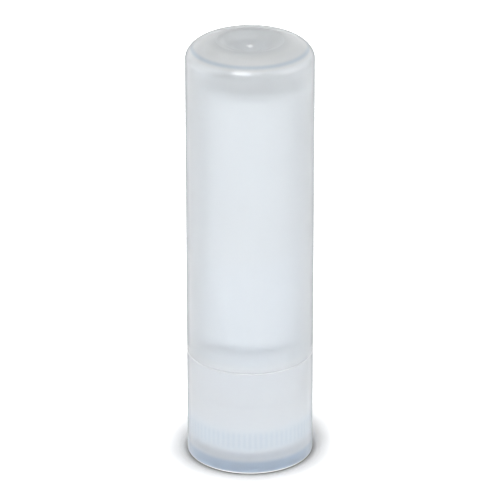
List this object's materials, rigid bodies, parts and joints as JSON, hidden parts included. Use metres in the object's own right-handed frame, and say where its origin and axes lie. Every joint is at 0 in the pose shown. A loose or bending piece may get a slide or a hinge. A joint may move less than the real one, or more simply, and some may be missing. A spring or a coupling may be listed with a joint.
{
  "type": "lip balm stick",
  "caption": "Frosted round lip balm stick: a smooth dished cap over an inner tube, and a twist base whose screw winds the balm up.",
  "frame": {"origin": "centre of the foot's rim, on the surface that the stick stands on", "axes": "+Z along the stick's axis from foot to cap; +X to the right in the picture's view, towards the first guide rib inside the barrel"},
  "size_m": [0.02, 0.02, 0.0695],
  "materials": {
    "frosted_cap": "frosted, see-through",
    "frosted_barrel": "frosted, see-through",
    "frosted_base": "frosted, see-through",
    "natural_plastic": "satin moulded",
    "white_plastic": "satin moulded",
    "balm_wax": "waxy, soft sheen"
  },
  "bodies": {
    "barrel": {"barrel": "frosted_barrel"},
    "twist_base": {"base": "frosted_base", "spindle": "natural_plastic"},
    "carrier": {"carrier": "white_plastic", "balm": "balm_wax"},
    "cap": {"cap": "frosted_cap"}
  },
  "joints": [
    {"name": "base_twist", "type": "hinge", "parent": "barrel", "child": "twist_base", "pos_m": [0, 0, 0], "axis": [0, 0, 1], "range_deg": [0, 2520]},
    {"name": "carrier_lift", "type": "slide", "parent": "barrel", "child": "carrier", "axis": [0, 0, 1], "range_m": [0, 0.0281]},
    {"name": "cap_pull", "type": "slide", "parent": "carrier", "child": "cap", "axis": [0, 0, 1], "range_m": [0, 0.05]}
  ],
  "couplings": [
    {"joint": "carrier_lift", "follows": "base_twist", "m_per_rad": 0.00063662}
  ]
}
